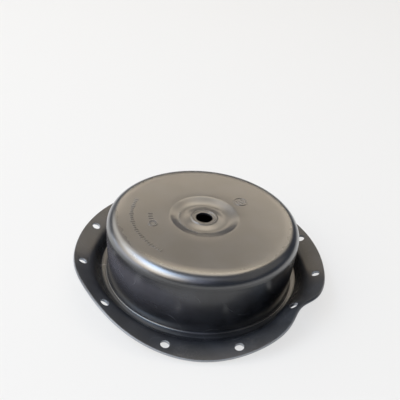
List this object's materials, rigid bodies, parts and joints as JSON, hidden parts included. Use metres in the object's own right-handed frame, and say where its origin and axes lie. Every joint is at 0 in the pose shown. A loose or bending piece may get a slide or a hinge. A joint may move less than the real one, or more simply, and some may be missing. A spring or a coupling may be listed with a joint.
{
  "type": "actuator diaphragm",
  "caption": "Moulded rubber top-hat rolling diaphragm with a recessed centre hole and sealing bead, a foot channel and a limp flange with bolt holes.",
  "frame": {"origin": "the dish's axis at the level the foot ridge stands on", "axes": "+Z along the dish's axis, up out of its closed top; -Y is the side that faces the viewer of the picture"},
  "size_m": [0.2743, 0.2731, 0.0725],
  "materials": {
    "rubber": "satin"
  },
  "bodies": {
    "root": {"diaphragm": "rubber"}
  },
  "joints": []
}
